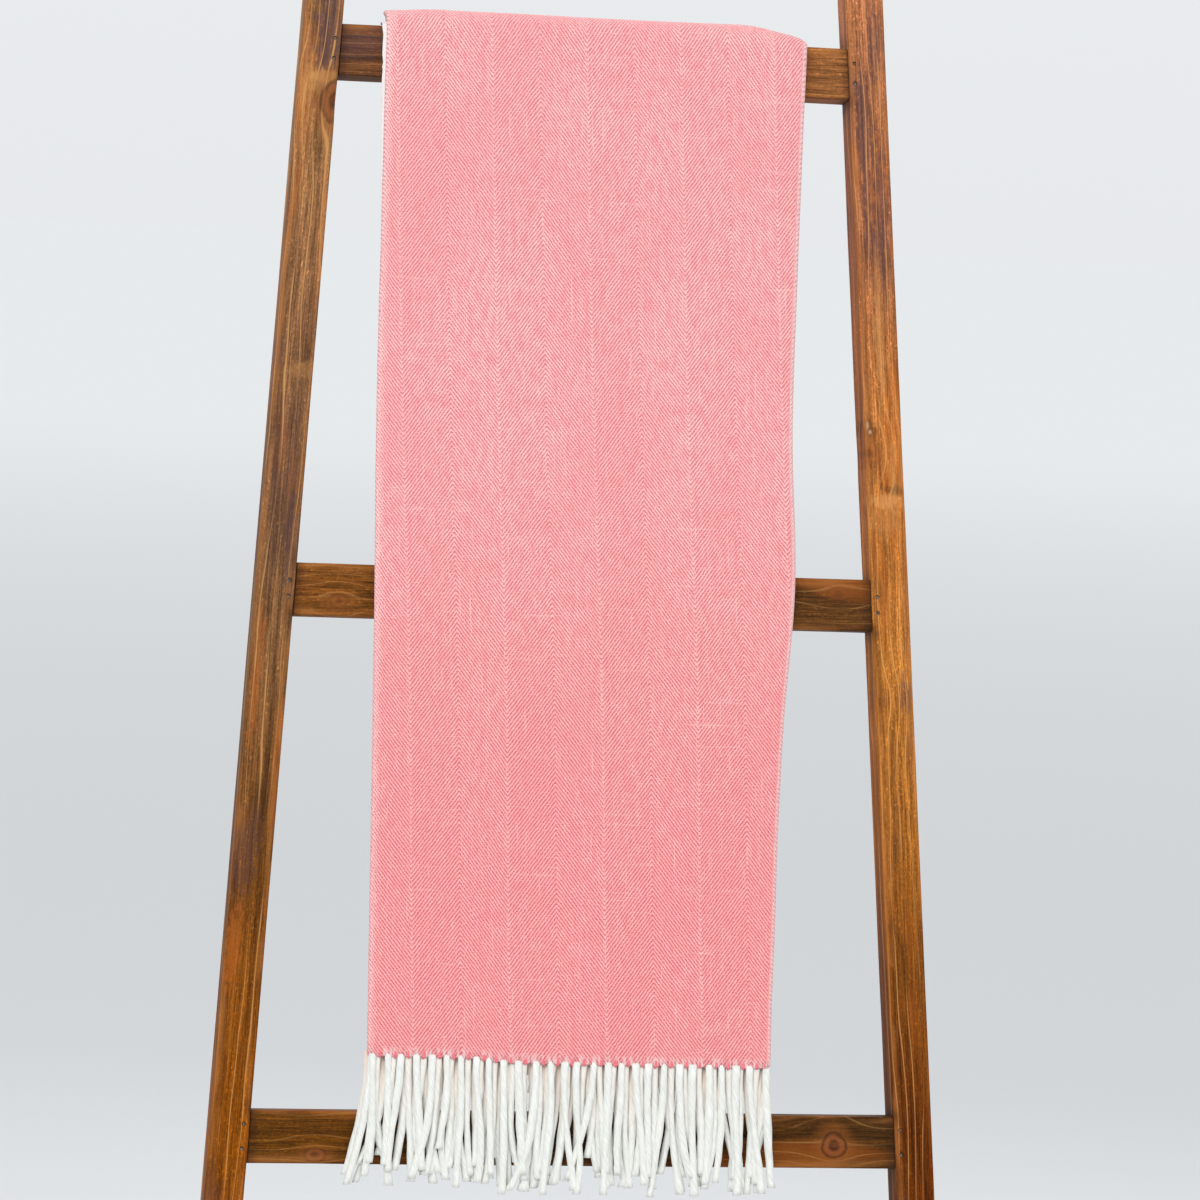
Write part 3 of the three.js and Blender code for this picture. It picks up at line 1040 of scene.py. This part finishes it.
def whiteYarn():
    w = Wiring("whiteYarn")
    place = w.attribute("yarnPlace")
    around, along, seed = w.apart(place)
    twisted = w.plus(around, w.times(along, 150))
    strands = w.together(w.times(twisted, 2.6), w.times(along, 130), seed)
    fibre = w.noise(strands, 1.0, 3.0)
    blotch = w.noise(w.together(seed, w.times(along, 30), 0.0), 1.0, 1.0)
    tone = w.mix(w.span(fibre, 0.3, 0.7), rgb(214, 214, 207), rgb(238, 239, 234))
    tone = w.tinted(tone, (blotch, 0.5, 0.8, 0.3, (238, 232, 220)))
    # painted shade and reflected coral light on the back layers' tassels, fading out over the top 55 mm
    paintedShadeShare = w.span(seed, 60.0, 300.0, 0.0, 0.75)      # whole hundreds of the seed are the layers
    tone = w.mix(w.times(paintedShadeShare, w.span(along, 0.055, 0.002)), tone, fringe["paintedReflectionAndShade"])
    w.bump(fibre, 0.0004, 0.6)
    return w.finish(Base_Color=tone, Roughness=0.9, Sheen_Weight=0.3, Sheen_Roughness=0.5,
                    Specular_IOR_Level=0.2)


def coralTuft():
    w = Wiring("coralTuft")
    place = w.attribute("yarnPlace")
    fuzz = w.grain(place, (2.0, 900, 1))
    tone = w.mix(w.span(fuzz, 0.3, 0.7), rgb(226, 92, 108), rgb(246, 142, 148))
    w.bump(fuzz, 0.0004, 0.6)
    return w.finish(Base_Color=tone, Roughness=0.95, Specular_IOR_Level=0.2)


yarnMaterial, tuftMaterial = whiteYarn(), coralTuft()


# collects twisted yarns into one mesh
class YarnBuilder:
    def __init__(self):
        self.points, self.faces, self.places, self.slots = [], [], [], []

    def strand(self, centres, sizes, sides, twistStep, seed, slot, lobes, lobeDepth, outward):
        first = len(self.points)
        along = 0.0
        for k, (centre, (wide, deep)) in enumerate(zip(centres, sizes)):
            along += (centre - centres[k - 1]).length if k else 0.0
            for j in range(sides):
                angle = math.tau * j / sides
                lobe = 1 + lobeDepth * math.cos(lobes * (angle - twistStep * k))
                offset = Vector((wide * lobe * math.cos(angle), 0, 0))
                offset += outward * (deep * lobe * math.sin(angle))
                self.points.append(centre + offset)
                self.places.append((angle, along, seed))
        rings = len(centres)
        for r in range(rings - 1):
            for j in range(sides):
                a, b = first + r * sides + j, first + r * sides + (j + 1) % sides
                self.faces.append((a, b, b + sides, a + sides))
                self.slots.append(slot)
        self.faces.append(tuple(first + j for j in reversed(range(sides))))
        self.faces.append(tuple(first + (rings - 1) * sides + j for j in range(sides)))
        self.slots += [slot, slot]

    def finish(self, name):
        made = makeObject(name, self.points, self.faces, yarnMaterial)
        made.data.materials.append(tuftMaterial)
        made.data.polygons.foreach_set("material_index", self.slots)
        writeAttributes(made, yarnPlace=self.places)
        faceOutward(made)
        return made


# where a yarn leaves the hem, its layer's height, and which ways are down and outward
def hemSpot(front, layer, x):
    run = (-frontRun if front else backRun) - hemSlip(x)
    out = layerOut(layer, run)
    anchor = drapePoint(x, out, easedRun(run, out))
    if front:
        return anchor, out, -upSlope, outFront
    return anchor, out, Vector((0, 0, -1)), Vector((0, 1, 0))


# one twisted tassel, from inside the hem down to its chopped end
def tassel(builder, front, layer, x, left, dice):
    seed = dice.random() * 50
    anchor, out, down, outward = hemSpot(front, layer, x)
    length = fringe["length"] + dice.uniform(-1, 1) * fringe["lengthSpread"]
    if dice.random() < 0.14:
        length -= dice.uniform(0.008, 0.018)
    radius = fringe["radius"] * dice.uniform(0.9, 1.12)
    drift = dice.gauss(0, fringe["wander"])
    if front:
        drift -= fringe["leftSplay"] * math.exp(-(x - left) / 0.02)
    phase, beat = dice.uniform(0, math.tau), dice.uniform(0.7, 1.5)
    sway = fringe["sway"] * dice.uniform(0.2, 1.4)
    curl = fringe["curl"] * dice.uniform(-1, 1) if dice.random() < 0.22 else 0.0
    clear = throw["clearance"] + radius * 1.1 + 0.0006 * (3 - layer)
    settle = max(0.0, clear - out) if front else 0.0
    rock = dice.uniform(-0.0006, 0.0012)
    centres, sizes = [], []
    rings = fringe["rings"]
    for k in range(rings):
        t = k / (rings - 1)
        fall = length * t - fringe["headRise"]
        bend = drift * t ** 1.6 + sway * math.sin(beat * math.pi * t + phase) * t
        bend += curl * max(0.0, t - 0.55) ** 2 * 4
        ease = smooth(t, 0.0, 0.25)
        centres.append(anchor + Vector((bend, 0, 0)) + down * fall + outward * (settle * ease + rock * t))
        grow = smooth(t, 0.0, 0.10)
        fan = 1 - smooth(t, 0.0, 0.07)
        frayed = 1 + 0.16 * smooth(t, 0.90, 1.0)
        thin = 1 - 0.10 * math.sin(math.pi * t * 2 + phase)
        size = radius * thin * frayed
        sizes.append((size * (0.84 + 0.16 * grow + 0.35 * fan), size * (0.36 + 0.64 * grow)))
    turn = math.tau * fringe["twist"] * dice.uniform(0.8, 1.2) / rings / fringe["lobes"]
    builder.strand(centres, sizes, fringe["sides"], turn, seed + 100 * round(layer), 0,
                   fringe["lobes"], fringe["lobeDepth"], outward)


# the cut coral weft that shows between two tassels
def tuft(builder, front, layer, x, dice):
    anchor, _, down, outward = hemSpot(front, layer, x)
    drop = fringe["tuftDrop"] * dice.uniform(0.6, 1.3)
    lean = dice.uniform(-0.001, 0.001)
    lift = outward * 0.0006
    centres = [anchor - down * 0.0046 + lift * 0.2, anchor - down * 0.0030 + lift,
               anchor + down * drop * 0.3 + lift, anchor + down * drop + Vector((lean, 0, 0))]
    sizes = [(0.0005, 0.0003), (0.0010, 0.0006), (0.0013, 0.0007), (0.0004, 0.0003)]
    builder.strand(centres, sizes, 6, 0.0, dice.random() * 50, 1, 1, 0.0, outward)


def makeFringe(name, front):
    dice = random.Random(7 if front else 19)
    builder = YarnBuilder()
    for layer in range(4):
        run = -frontRun if front else backRun
        left, right = edges(run)
        start, end = left + 0.0035, right - 0.004
        count = round((end - start) / fringe["pitch"]) + 1
        shift = (0, 0.42, 0.16, -0.22)[layer] * fringe["pitch"]
        for k in range(count):
            x = start + shift + k * (end - start) / (count - 1) + dice.uniform(-1, 1) * 0.0014
            if x > end + 0.001:
                continue
            tassel(builder, front, layer, x, left, dice)
            if x + fringe["pitch"] / 2 < end:
                tuft(builder, front, layer, x + fringe["pitch"] / 2, dice)
        if layer < 3:
            tassel(builder, front, layer + 0.5, right - 0.0032 + 0.0007 * layer, left, dice)
    for x in (left + 0.0022, left + 0.0040):
        tassel(builder, front, 0.5, x, left, dice)
    return builder.finish(name)


frontFringe = makeFringe("frontFringe", True)
backFringe = makeFringe("backFringe", False)
for piece, node in ((frontFringe, "fringe_front"), (backFringe, "fringe_back")):
    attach(piece, "hung_throw")
    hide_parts(node)
print("fringe", len(frontFringe.data.polygons) + len(backFringe.data.polygons), "faces")
